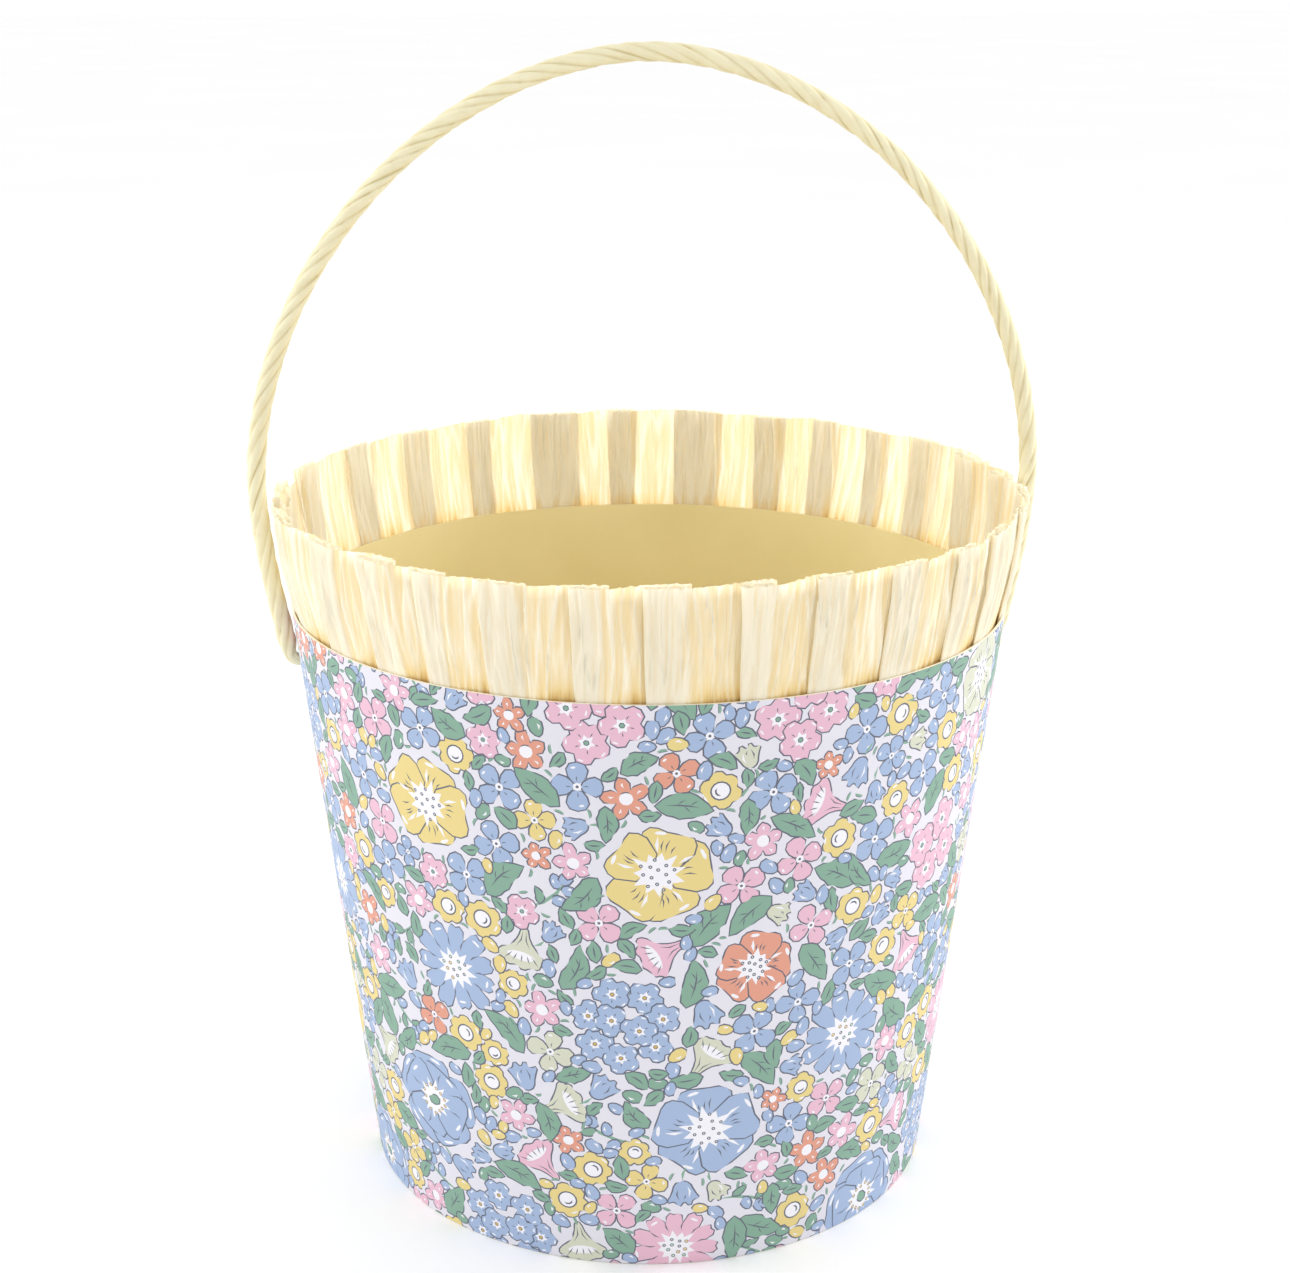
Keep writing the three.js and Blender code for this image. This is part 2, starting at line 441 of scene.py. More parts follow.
def bloom(radius, ink, rng):
    """A big open flower: broad petals, a white middle and a ring of stamens."""
    shapes = []
    petals = 5
    turns = [TURN * (i + rng.uniform(-0.1, 0.1)) / petals for i in range(petals)]
    order = list(range(petals))
    rng.shuffle(order)
    for i in order:
        length = radius * rng.uniform(0.88, 1.05)
        width = radius * rng.uniform(0.98, 1.16)
        outline = moved(petal(length, width, rng, rng.uniform(0.08, 0.2)), angle=turns[i])
        shapes += inked(outline, ink, rng)
        shapes += gleam(length * 0.87, turns[i] + 0.1, turns[i] + 0.38, 0.8)
    for i in range(petals):
        for side in (-0.2, -0.02, 0.16):
            angle = turns[i] + side + rng.uniform(-0.05, 0.05)
            inner, outer = radius * 0.42, radius * rng.uniform(0.56, 0.7)
            line = [polar(inner, angle), polar((inner + outer) / 2, angle + 0.04), polar(outer, angle)]
            shapes += stroke(line, 0.36)
        shapes += ray(radius, turns[i] + 0.3, (0.4, 0.55, 0.72), (0, 0.03, 0), 0.8, WHITE)
    shapes.append(burst(radius * 0.44, 11, rng))
    for i in range(13):
        x, y = polar(radius * 0.33 * sqrt((i + 0.7) / 13), 2.4 * i)
        shapes += stamen(x, y, LINE)
    return shapes


def anemone(radius, ink, rng):
    """A big flower with many overlapping petals, a ring of gold stamens and a green middle."""
    shapes = []
    for layer, (count, reach) in enumerate(((5, 1.0), (4, 0.78))):
        for i in range(count):
            angle = TURN * (i + 0.5 * layer) / count + rng.uniform(-0.12, 0.12)
            length = radius * reach * rng.uniform(0.92, 1.04)
            outline = petal(length, radius * 1.12, rng, 0.08)
            shapes += inked(moved(outline, angle=angle), ink, rng)
            shapes += gleam(radius * reach * 0.85, angle - 0.4, angle - 0.08, 0.75)
            shapes += ray(radius, angle, (0.36, 0.52, 0.66), (0.1, 0.16, 0.1), 0.36)
    shapes.append(burst(radius * 0.38, 12, rng))
    for i in range(13):
        x, y = polar(radius * rng.uniform(0.21, 0.3), TURN * i / 13)
        shapes += stamen(x, y, GOLD)
    shapes += inked(ring(lambda t: radius * 0.11 * (1 + 0.2 * cos(2 * t)), 9), GREEN, rng)
    return shapes


def daisy(radius, ink, rng):
    """A full flower with many notched petals and a ragged white middle."""
    petals = 11
    profile = (0.7, 0.93, 1.0, 0.95, 1.0, 0.92)
    uneven = [rng.uniform(0.9, 1.08) for _ in range(petals)]
    outline = []
    for i in range(petals):
        for k, reach in enumerate(profile):
            angle = TURN * (i + (k + 0.1) / len(profile)) / petals
            outline.append(polar(radius * reach * uneven[i], angle))
    shapes = inked(outline, ink, rng)
    for i in range(petals):
        angle = TURN * (i + rng.uniform(-0.04, 0.04)) / petals
        shapes += ray(radius, angle, (0.46, 0.58, 0.78), (0, 0.04, 0), 0.36)
        if i % 2:
            shapes += gleam(radius * 0.84 * uneven[i], angle + 0.16, angle + 0.4, 0.6)
    shapes.append(burst(radius * 0.46, 12, rng))
    for i in range(11):
        x, y = polar(radius * 0.3 * sqrt((i + 0.6) / 11), 2.4 * i)
        shapes += stamen(x, y, (LINE, GREEN, GOLD)[i % 3])
    return shapes


def primrose(radius, ink, rng):
    """A small round flower with a white eye."""
    lobes = rng.choice((6, 6, 7))
    shapes = inked(lobed(radius, lobes, 0.2, lobes * 4, rng, 0.6), ink, rng)
    shapes.append((ring(lambda _: radius * 0.5, 14), LINE))
    shapes.append((ring(lambda _: radius * 0.42, 14), WHITE))
    start = rng.uniform(0, TURN)
    shapes += stroke(arc(radius * 0.24, start, start + 2.4), 0.42)
    shapes += gleam(radius * 0.8, start + 1, start + 1.5, 0.45)
    return shapes


def star_blossom(radius, ink, rng):
    """A five-petal blossom with pointed tips and a white eye."""
    profile = (0.45, 0.72, 0.9, 1.0, 0.86, 0.66)
    shift = (0.0, 0.16, 0.34, 0.56, 0.72, 0.88)
    uneven = [rng.uniform(0.86, 1.1) for _ in range(5)]
    outline = [polar(radius * reach * (uneven[i] if k in (2, 3, 4) else 1), TURN * (i + shift[k]) / 5)
               for i in range(5) for k, reach in enumerate(profile)]
    shapes = inked(outline, ink, rng)
    for i in range(5):
        shapes += ray(radius, TURN * (i + 0.45) / 5, (0.5, 0.66, 0.76), (0, 0.1, 0.02), 0.5, WHITE)
    shapes.append((ring(lambda _: radius * 0.3, 10), WHITE))
    shapes += stroke(arc(radius * 0.3, 1, 2.6), 0.3)
    return shapes


def four_petals(radius, ink, rng):
    """Four separate round petals about a small eye."""
    shapes = []
    for i in range(4):
        angle = TURN * i / 4 + rng.uniform(-0.1, 0.1)
        wide = radius * rng.uniform(0.35, 0.42)
        long = radius * rng.uniform(0.4, 0.46)
        outline = [(radius * 0.56 + long * cos(t), wide * sin(t) * (1 + 0.3 * cos(t)))
                   for t in (TURN * j / 10 for j in range(10))]
        shapes += inked(moved(outline, angle=angle), ink, rng)
        if i % 2 == 0:
            shapes += gleam(radius * 0.8, angle + 0.05, angle + 0.32, 0.5)
        shapes += ray(radius, angle, (0.2, 0.36, 0.46), (0, 0.08, 0), 0.26)
    shapes += [dot(0, 0, radius * 0.17, WHITE, 8), dot(0, 0, radius * 0.07, LINE, 5)]
    return shapes


BELL_OUTLINE = ((-0.45, 0.75), (-0.62, 0.1), (-1.0, -0.6), (-0.5, -0.45), (-0.28, -0.98), (0.05, -0.5),
                (0.4, -0.95), (0.58, -0.42), (1.0, -0.5), (0.64, 0.15), (0.42, 0.75), (0, 0.98))


def bell(radius, ink, rng):
    """A small bell flower on a stalk."""
    shapes = stroke([(0, radius * 0.8), (0.25, radius * 1.25), (1.2, radius * 1.7)], 0.7, GREEN)
    shapes += inked([(x * radius * 0.86, y * radius * 0.85) for x, y in rounded(BELL_OUTLINE)], ink, rng)
    shapes += stroke(scaled(((-0.25, 0.3), (-0.32, 0), (-0.2, -0.4)), radius), 0.36)
    shapes += stroke(scaled(((0.1, -0.05), (0.12, -0.2), (0, -0.38)), radius), 0.3)
    shapes += stroke(scaled(((0.25, 0.45), (0.36, 0.1), (0.3, -0.3)), radius), 0.5, WHITE)
    return shapes


def floret(radius, ink, rng):
    """One five-petal flower of a cluster."""
    shapes = inked(lobed(radius, 5, 0.28, 20, rng, 0.55), ink, rng, 0.5)
    for i in range(5):
        angle = TURN * (i + 0.5) / 5
        shapes += gleam(radius * 0.84, angle - 0.32, angle + 0.02, 0.4)
        shapes += ray(radius, angle, (0.3, 0.42, 0.54), (0.25, 0.25, 0.25), 0.28)
    shapes.append(burst(radius * 0.34, 6, rng))
    shapes.append(dot(0, 0, radius * 0.14, LINE, 6))
    shapes.append(dot(0, 0, radius * 0.1, GOLD if ink == BLUE else GREEN, 5))
    return shapes


def cluster(radius, ink, rng):
    """A round head of small overlapping flowers."""
    around = 7 if ink == BLUE else 4
    size = radius * (0.33 if ink == BLUE else 0.46)
    reach = radius - size
    places = [(reach, TURN * (i + rng.uniform(-0.1, 0.1)) / around) for i in range(around)]
    rng.shuffle(places)
    if ink == BLUE:
        spin = rng.uniform(0, TURN)
        places += [(radius * 0.26, spin), (radius * 0.26, spin + TURN / 2)]
    shapes = []
    for far, angle in places:
        x, y = polar(far, angle)
        spin = rng.uniform(0, TURN)
        shapes += placed(floret(size, ink, rng), x, y, spin)
    return shapes


def trumpet(radius, ink, rng):
    """A funnel flower seen from the side, with a frilled mouth."""
    funnel = [(-0.08, -1.1), (0.1, -1.12), (0.2, -0.6), (0.42, -0.2), (0.95, 0.15), (1.0, 0.42),
              (0.7, 0.5), (0.55, 0.72), (0.2, 0.62), (-0.1, 0.8), (-0.4, 0.62), (-0.72, 0.62),
              (-0.78, 0.36), (-1.0, 0.22), (-0.6, -0.1), (-0.24, -0.5)]
    shapes = inked(scaled(rounded(funnel), radius), ink, rng)
    throat = ((-0.62, 0.2), (-0.2, 0.02), (0.3, 0.02), (0.7, 0.22), (0.3, 0.38), (-0.25, 0.4))
    shapes.append((rounded(scaled(throat, radius)), WHITE))
    for i in range(5):
        x = (i - 2) * radius * 0.22
        shapes += stroke([(x * 0.9, radius * 0.12), (x * 1.2, radius * 0.3), (x * 1.6, radius * 0.5)], 0.32)
    for side in (-1, 1):
        shapes += stroke(scaled(((side * 0.06, -0.95), (side * 0.1, -0.5), (side * 0.3, -0.15)), radius), 0.3)
    return shapes


def leaf(length, rng, width, veins):
    """A leaf along X, centred on the origin, with a curved midrib and a wavy edge."""
    bend = rng.uniform(-0.14, 0.14) * length
    fat = length * width * rng.uniform(0.88, 1.1)
    full = rng.uniform(0.7, 0.95)
    top, bottom = [], []
    steps = 6 if length < 7 else 9
    wave = rng.uniform(0, TURN)
    for i in range(1, steps):
        t = i / steps
        x = length * (t - 0.5)
        middle = bend * sin(pi * t)
        half = fat / 2 * sin(pi * t ** full) ** 0.85
        edge = 0.07 * sin(wave + 7 * pi * t)
        top.append((x, middle + half * (1 + edge)))
        bottom.append((x, middle - half * (1 - edge)))
    tip, stalk = (length * 0.5, 0), (-length * 0.5, 0)
    shapes = inked([stalk, *bottom, tip, *reversed(top)], GREEN, rng)
    if veins:
        rib = [(-length * 0.34, bend * 0.5), (-length * 0.1, bend * 0.9), (length * 0.08, bend * 0.95),
               (length * 0.27, bend * 0.68)]
        shapes += stroke(rib, 0.36)
    if veins > 1:
        for start, side in ((-0.14, 1), (-0.02, -1), (0.08, 1)):
            vein = [(length * start, bend * 0.9), (length * (start + 0.07), bend + side * fat * 0.13),
                    (length * (start + 0.15), bend * 0.85 + side * fat * 0.26)]
            shapes += stroke(vein, 0.3)
    return shapes


def bud(length, rng, ink):
    """A plump bud with a gleam."""
    outline = [(length / 2 * cos(t), length * 0.33 * sin(t) * (1 - 0.2 * cos(t)))
               for t in (TURN * i / 10 for i in range(10))]
    shine = [(-length * 0.16, length * 0.12), (length * 0.0, length * 0.18), (length * 0.2, length * 0.1)]
    return inked(outline, ink, rng) + stroke(shine, 0.55, WHITE)


def spray(radius, ink, rng):
    """A curved stalk with buds and small leaves on either side."""
    bend = rng.choice((-1, 1)) * radius * 0.25
    line = [(-radius, 0), (-radius * 0.4, bend * 0.8), (radius * 0.2, bend), (radius * 0.75, bend * 0.5)]
    shapes = stroke(line, 0.8, GREEN)
    for share, side in ((-0.5, 1), (-0.1, -1), (0.35, 1), (0.4, -1)):
        shape = bud(3.6, rng, ink) if rng.choice((bud, bud, leaf)) is bud else leaf(4.2, rng, 0.45, 0)
        angle = side * rng.uniform(0.7, 1.1)
        x, y = share * radius + 2.0 * cos(angle), bend * (1 - share * share) + 2.3 * sin(angle)
        shapes += placed(shape, x, y, angle)
    shapes += placed(bud(4.0, rng, ink), radius * 0.85, bend * 0.35)
    return shapes


def sprig(length, rng):
    """A thin curved green stalk with its shaded side drawn in."""
    bend = rng.uniform(-0.2, 0.2) * length
    line = [(-length / 2, 0), (-length * 0.15, bend * 0.8), (length * 0.2, bend * 0.8), (length / 2, 0)]
    return stroke([(x, y - 0.3) for x, y in line], 0.3) + stroke(line, 0.62, GREEN)


class Cloth:
    """The flat print: which places are taken, and what is drawn where."""

    STEP = 0.5
    EDGE = 14

    def __init__(self, width, height):
        self.width, self.height = width, height
        self.x = np.arange(-self.EDGE, width + self.EDGE, self.STEP)
        self.y = np.arange(-self.EDGE, height + self.EDGE, self.STEP)
        self.free = np.full((len(self.y), len(self.x)), 30.0)
        self.shapes = []

    def room(self, x, y):
        """How far this place is from anything drawn."""
        column = min(max(int((x + self.EDGE) / self.STEP), 0), len(self.x) - 1)
        row = min(max(int((y + self.EDGE) / self.STEP), 0), len(self.y) - 1)
        return self.free[row, column]

    def take(self, x, y, radius):
        """Marks a round place as taken."""
        reach = 34
        left, right = np.searchsorted(self.x, (x - reach, x + reach))
        low, high = np.searchsorted(self.y, (y - reach, y + reach))
        across = (self.x[None, left:right] - x) * true_width(y)
        far = np.hypot(across, self.y[low:high, None] - y) - radius
        np.minimum(self.free[low:high, left:right], far, out=self.free[low:high, left:right])

    def widest(self):
        """The place with the most room, and that room."""
        row, column = np.unravel_index(int(self.free.argmax()), self.free.shape)
        return float(self.x[column]), float(self.y[row]), float(self.free[row, column])

    def draw(self, shapes, x, y, angle):
        """Draws a motif at its true size: the sheet is wider at the rim than at the foot."""
        for points, ink in shapes:
            outline = [(x + px / true_width(y + py), y + py) for px, py in moved(points, angle=angle)]
            self.shapes.append((outline, ink))


def true_width(up):
    """How wide the wall is at this distance up its slope, against its middle."""
    return wall_radius(up * cos(SLOPE)) / MIDDLE_R


def run_along(cloth, x, y, limit, rng):
    """The direction in which a narrow shape at this place can be longest, and half that length."""
    best = (0.0, 0.0)
    spin = rng.uniform(0, pi)
    for i in range(12):
        angle = spin + pi * i / 12
        reach = 0.0
        while reach < limit:
            reach += 0.5
            dx, dy = polar(reach, angle)
            if min(cloth.room(x + dx, y + dy), cloth.room(x - dx, y - dy)) < 0.55:
                break
        if reach > best[1]:
            best = (angle, reach)
    return best


def best_spot(spots, rng):
    """The one of many random places that lies farthest from the chosen ones."""
    tries = [(rng.uniform(0, AROUND), rng.uniform(2, WALL_LENGTH - 2)) for _ in range(70)]

    def nearest(place):
        gaps = [min(abs(place[0] - x), AROUND - abs(place[0] - x)) for x, _ in spots]
        return min([hypot(gap, 1.1 * (place[1] - y)) for gap, (_, y) in zip(gaps, spots)] or [0])

    return max(tries, key=nearest)


def draw_big_flowers(cloth, rng):
    """Large flowers, spread evenly."""
    kinds = [
        (anemone, 13.5, BLUE), (bloom, 13, YELLOW), (cluster, 13, BLUE), (cluster, 11.5, PINK),
        (bloom, 13.5, BLUE), (daisy, 10.5, CORAL), (daisy, 11.5, BLUE), (bloom, 12.5, YELLOW),
        (anemone, 11.5, PINK), (cluster, 12, BLUE), (bloom, 10, CORAL), (bloom, 11, SAGE),
        (daisy, 10.5, PINK), (anemone, 12, BLUE), (cluster, 11, PINK),
    ]
    spots = []
    for count in range(46):
        x, y = best_spot(spots, rng)
        spots.append((x, y))
        maker, radius, ink = kinds[count % len(kinds)]
        radius = min(radius, cloth.room(x, y) - 0.4)
        if radius < 8:
            continue
        cloth.draw(maker(radius, ink, rng), x, y, rng.uniform(0, TURN))
        cloth.take(x, y, radius * 0.98)


def draw_small_flowers(cloth, rng):
    """Small flowers, each in the tightest of a few random places that have room for it."""
    kinds = [
        (primrose, 4.9, YELLOW), (star_blossom, 5.2, CORAL), (four_petals, 5.8, BLUE),
        (primrose, 4.7, YELLOW), (star_blossom, 5.0, PINK), (four_petals, 5.6, PINK),
        (bell, 3.7, BLUE), (spray, 7.5, BLUE), (four_petals, 5.6, SAGE), (trumpet, 6, PINK),
        (bell, 3.6, BLUE), (four_petals, 5.8, BLUE), (bell, 3.7, SAGE), (four_petals, 5.2, CORAL),
        (spray, 7, BLUE), (trumpet, 6, SAGE), (primrose, 4.6, YELLOW), (star_blossom, 4.8, PINK),
        (four_petals, 5.6, BLUE), (star_blossom, 5, CORAL), (floret, 4.4, PINK), (four_petals, 5, YELLOW),
    ]
    for _ in range(430):
        maker, radius, ink = kinds[rng.randrange(len(kinds))]
        place = None
        for _ in range(16):
            x, y = rng.uniform(-3, AROUND + 3), rng.uniform(-2, WALL_LENGTH + 2)
            room = cloth.room(x, y)
            if radius * 0.94 + 0.3 < room and (place is None or room < place[2]):
                place = (x, y, room)
        if place is None:
            continue
        cloth.draw(maker(radius, ink, rng), place[0], place[1], rng.uniform(0, TURN))
        cloth.take(place[0], place[1], radius * (0.6 if maker is spray else 0.9))


LONGEST_LEAF = 12.5
WIDEST_LEAF = 6.2


def draw_filling(cloth, rng):
    """Leaves, buds and stalks in what room is left, always in the widest gap."""
    for _ in range(2200):
        x, y, room = cloth.widest()
        if room < 1.05:
            break
        if room > 3.5 and rng.random() < 0.62:
            maker, ink = rng.choice(((primrose, YELLOW), (star_blossom, PINK), (four_petals, BLUE),
                                     (star_blossom, CORAL), (bell, BLUE), (bell, BLUE), (primrose, YELLOW)))
            size = min(room - 0.2, 4.8)
            cloth.draw(maker(size, ink, rng), x, y, rng.uniform(0, TURN))
            cloth.take(x, y, size * 0.95)
            continue
        angle, reach = run_along(cloth, x, y, LONGEST_LEAF / 2 + 0.2, rng)
        reach = max(reach, room)
        half = min(reach - 0.15, room * 2.8)
        thick = min((room - 0.25) * 2, WIDEST_LEAF, half * 1.1)
        if rng.random() < 0.5:
            angle += pi
        if thick > 2.2 and half > 2.3 and rng.random() < 0.68:
            cloth.draw(leaf(half * 2, rng, thick / (half * 2), 2 if half > 4.2 else 1), x, y, angle)
        elif half > 1.6:
            half = min(half, 2.3)
            thick = min(thick, 3.0)
            cloth.draw(bud(half * 2, rng, rng.choice((BLUE, BLUE, BLUE, YELLOW, GREEN))), x, y, angle)
        else:
            cloth.draw(sprig(half * 1.9, rng), x, y, angle)
            thick = 1.2
        steps = max(1, int(half / 1.0))
        for i in range(-steps, steps + 1):
            dx, dy = polar(half * i / (steps + 0.5), angle)
            thin = max(0.5, thick / 2 * (1 - (abs(i) / (steps + 0.5)) ** 2))
            cloth.take(x + dx, y + dy, thin)


def draw_print():
    """Fills the unrolled sleeve with flowers, from the biggest to the smallest."""
    rng = random.Random(41)
    cloth = Cloth(AROUND, WALL_LENGTH)
    draw_big_flowers(cloth, rng)
    draw_small_flowers(cloth, rng)
    draw_filling(cloth, rng)
    return cloth.shapes


# ---------------------------------------------------------------- the print as a mesh on the wall
CELLS_ROUND = 84
CELLS_UP = 12


def inside(polygon, points):
    """Which points lie in the polygon, by the even-odd rule."""
    x, y = points[:, 0][:, None], points[:, 1][:, None]
    ends = np.roll(polygon, -1, axis=0)
    ax, ay, bx, by = polygon[:, 0], polygon[:, 1], ends[:, 0], ends[:, 1]
    crosses = (ay > y) != (by > y)
    rise = np.where(by == ay, 1e-12, by - ay)
    hits = crosses & (x < (bx - ax) * (y - ay) / rise + ax)
    return hits.sum(axis=1) % 2 == 1


def cut_edges(polygon, cell_w, cell_h):
    """The polygon's edges cut where they pass from one cell of the grid to the next."""
    count = len(polygon)
    for i in range(count):
        ax, ay = polygon[i]
        bx, by = polygon[(i + 1) % count]
        cuts = [0.0, 1.0]
        for a, b, size in ((ax, bx, cell_w), (ay, by, cell_h)):
            low, high = sorted((a / size, b / size))
            for k in range(math.ceil(low), math.floor(high) + 1):
                if b != a:
                    cuts.append((k * size - a) / (b - a))
        cuts = sorted(c for c in cuts if 0 <= c <= 1)
        for s, e in zip(cuts, cuts[1:]):
            if e - s > 1e-9:
                yield ((ax + (bx - ax) * s, ay + (by - ay) * s), (ax + (bx - ax) * e, ay + (by - ay) * e))


def cells_across(places, size, count):
    """The cells of the grid that places in one direction reach over."""
    return range(max(0, int(min(places) // size)), min(count - 1, int(max(places) // size)) + 1)


def flatten_print(shapes):
    """Triangles of the whole flat print and the ink of each: the shape drawn last is on top."""
    cell_w, cell_h = AROUND / CELLS_ROUND, WALL_LENGTH / CELLS_UP
    edges = {}
    covers = {}
    for number, (points, _) in enumerate(shapes):
        for column in cells_across([p[0] for p in points], cell_w, CELLS_ROUND):
            for row in cells_across([p[1] for p in points], cell_h, CELLS_UP):
                covers.setdefault((column, row), []).append(number)
        for start, end in cut_edges(points, cell_w, cell_h):
            column = int((start[0] + end[0]) / 2 // cell_w)
            row = int((start[1] + end[1]) / 2 // cell_h)
            edges.setdefault((column, row), []).append((start, end))
    corners, index, faces, inks = [], {}, [], []

    def corner(x, y):
        key = (round(x, 4), round(y, 4))
        if key not in index:
            index[key] = len(corners)
            corners.append((x, y))
        return index[key]

    polygons = [np.array(points) for points, _ in shapes]
    for column in range(CELLS_ROUND):
        for row in range(CELLS_UP):
            x0, x1 = column * cell_w, (column + 1) * cell_w
            y0, y1 = row * cell_h, (row + 1) * cell_h
            local, places = {}, []

            def place(point):
                x = min(max(point[0], x0), x1)
                y = min(max(point[1], y0), y1)
                key = (round(x, 4), round(y, 4))
                if key not in local:
                    local[key] = len(places)
                    places.append(Vector((x, y)))
                return local[key]

            for point in ((x0, y0), (x1, y0), (x1, y1), (x0, y1)):
                place(point)
            links = [(place(a), place(b)) for a, b in edges.get((column, row), ())]
            links = list({tuple(sorted(pair)) for pair in links if pair[0] != pair[1]})
            points, _, triangles, *_ = delaunay_2d_cdt(places, links, [], 0, 1e-5, False)
            flat = np.array([(p.x, p.y) for p in points])
            triangles = np.array(triangles)
            middles = flat[triangles].mean(axis=1)
            top = np.zeros(len(triangles), int)
            for number in covers.get((column, row), ()):
                top[inside(polygons[number], middles)] = INK_ORDER.index(shapes[number][1])
            kept = [corner(x, y) for x, y in flat]
            for triangle, ink in zip(triangles, top):
                a, b, c = (kept[k] for k in triangle)
                if a != b and b != c and a != c:
                    faces.append((a, b, c))
                    inks.append(int(ink))
    return corners, faces, inks


# ---------------------------------------------------------------- card sleeves
def seam_lift(share, card):
    """How far the rolled sheet stands off at this share of the way round: it climbs over its own
    start before it ends."""
    overlap, climb = 0.05, 0.03
    t = min(max((share - (1 - overlap)) / climb, 0), 1)
    return card * eased(t)


def loop_strip(outer, inner):
    """Triangles between two loops of (share of the way round, corner) in order."""
    faces = []
    i = j = 0
    while i < len(outer) - 1 or j < len(inner) - 1:
        step_outer = j == len(inner) - 1 or (i < len(outer) - 1 and outer[i + 1][0] <= inner[j + 1][0])
        if step_outer:
            faces.append((outer[i][1], outer[i + 1][1], inner[j][1]))
            i += 1
        else:
            faces.append((outer[i][1], inner[j + 1][1], inner[j][1]))
            j += 1
    return faces


def card_sleeve(name, corners, faces, slots, materials, outer_r, low, high, card, seam_at):
    """A rolled and glued card sleeve with its outer face cut into the given flat triangles.

    corners are (share of the way round, share of the way up). Slot 0 is left for the raw card."""
    points, normals = [], []
    n_out = (cos(SLOPE), sin(SLOPE))

    def on_wall(round_share, up_share, inset):
        angle = seam_at + TURN * round_share
        z = low + (high - low) * up_share
        radius = outer_r(z) - inset + seam_lift(round_share, card)
        return (radius * cos(angle), radius * sin(angle), z)

    def facing(round_share, sign):
        angle = seam_at + TURN * round_share
        return (sign * n_out[0] * cos(angle), sign * n_out[0] * sin(angle), -sign * n_out[1])

    all_faces, face_slots = [], []
    for x, y in corners:
        points.append(on_wall(x, y, 0))
    for face, slot_number in zip(faces, slots):
        all_faces.append(face)
        face_slots.append(slot_number)
        normals += [facing(corners[k][0], 1) for k in face]
    rounds = 180
    inner_low, inner_high = [], []
    for i in range(rounds + 1):
        for level, inner in ((0, inner_low), (1, inner_high)):
            inner.append((i / rounds, len(points)))
            points.append(on_wall(i / rounds, level, card))
    top = sorted((x, k) for k, (x, y) in enumerate(corners) if y > 1 - 1e-6)
    bottom = sorted((x, k) for k, (x, y) in enumerate(corners) if y < 1e-6)
    for strip, up in ((loop_strip(top, inner_high), 1), (loop_strip(bottom, inner_low), -1)):
        for face in strip:
            turned = face if up > 0 else tuple(reversed(face))
            all_faces.append(turned)
            face_slots.append(0)
            normals += [(0, 0, up)] * 3
    for i in range(rounds):
        a, b = inner_low[i][1], inner_low[i + 1][1]
        c, d = inner_high[i + 1][1], inner_high[i][1]
        all_faces.append((a, d, c, b))
        face_slots.append(0)
        normals += [facing(s, -1) for s in (i / rounds, i / rounds, (i + 1) / rounds, (i + 1) / rounds)]
    for end, edge in ((0.0, -1), (1.0, 1)):
        side = sorted((y, k) for k, (x, y) in enumerate(corners) if abs(x - end) < 1e-6)
        inner = [inner_low[-1 if end else 0], inner_high[-1 if end else 0]]
        angle = seam_at + TURN * end
        across = (-sin(angle) * edge, cos(angle) * edge, 0)
        for face in loop_strip(side, [(0.0, inner[0][1]), (1.0, inner[1][1])]):
            turned = tuple(reversed(face)) if end else face
            all_faces.append(turned)
            face_slots.append(0)
            normals += [across] * 3
    return new_piece(name, points, all_faces, materials, face_slots, normals)


def plain_corners(columns, rows):
    """A plain grid over the unrolled sleeve."""
    corners = [(i / columns, j / rows) for j in range(rows + 1) for i in range(columns + 1)]
    faces = [(j * (columns + 1) + i, j * (columns + 1) + i + 1, (j + 1) * (columns + 1) + i + 1,
              (j + 1) * (columns + 1) + i) for j in range(rows) for i in range(columns)]
    return corners, faces


def card_edge_look():
    look = Look("raw_card_edge", (252, 246, 228), 0.8)
    look.vary_roughness(look.noise(300, 2, stretch=(1, 1, 6)), 0.7, 0.9)
    look.bump(look.noise(1200, 2, stretch=(1, 1, 8)), 0.3, 0.05)
    return look.material


def ink_look(name, colour):
    """Ink on lightly grained card: the grain is a fine square canvas."""
    look = Look("print_" + name, colour, 0.55)
    look.shader.inputs["Specular IOR Level"].default_value = 0.3
    look.vary_roughness(look.noise(90, 2), 0.5, 0.64)
    threads = look.node("ShaderNodeTexWave", bands_direction="Z", Scale=620.0, Distortion=0.4)
    look.link(look.coordinates((1, 1, 1)), threads.inputs["Vector"])
    first = look.bump(threads.outputs["Fac"], 0.15, 0.04)
    look.bump(look.noise(1500, 2), 0.22, 0.04, first)
    return look.material


SLEEVE_SEAM = radians(84)


def printed_sleeve():
    """The sleeve: flowers on the outside, bare cream card inside and on its cut edges."""
    flat, faces, inks = flatten_print(draw_print())
    corners = [(x / AROUND, y / WALL_LENGTH) for x, y in flat]
    slots = [1 + ink for ink in inks]
    materials = [card_edge_look()] + [ink_look(name, colour) for name, colour in INKS.items()]
    piece = card_sleeve("printed_card_sleeve", corners, faces, slots, materials, wall_radius, 0, HEIGHT,
                        CARD, SLEEVE_SEAM)
    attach(piece, "basket")
    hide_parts("printed_sleeve")


LINER_SEAM = radians(121)


def yellow_look():
    look = Look("yellow_card", (239, 223, 168), 0.55)
    tone = look.noise(40, 4, 0.55)
    look.vary_colour(tone, (236, 220, 163), (242, 227, 174))
    look.vary_roughness(look.noise(120, 2), 0.5, 0.65)
    look.bump(look.noise(900, 3), 0.15, 0.04)
    return look.material


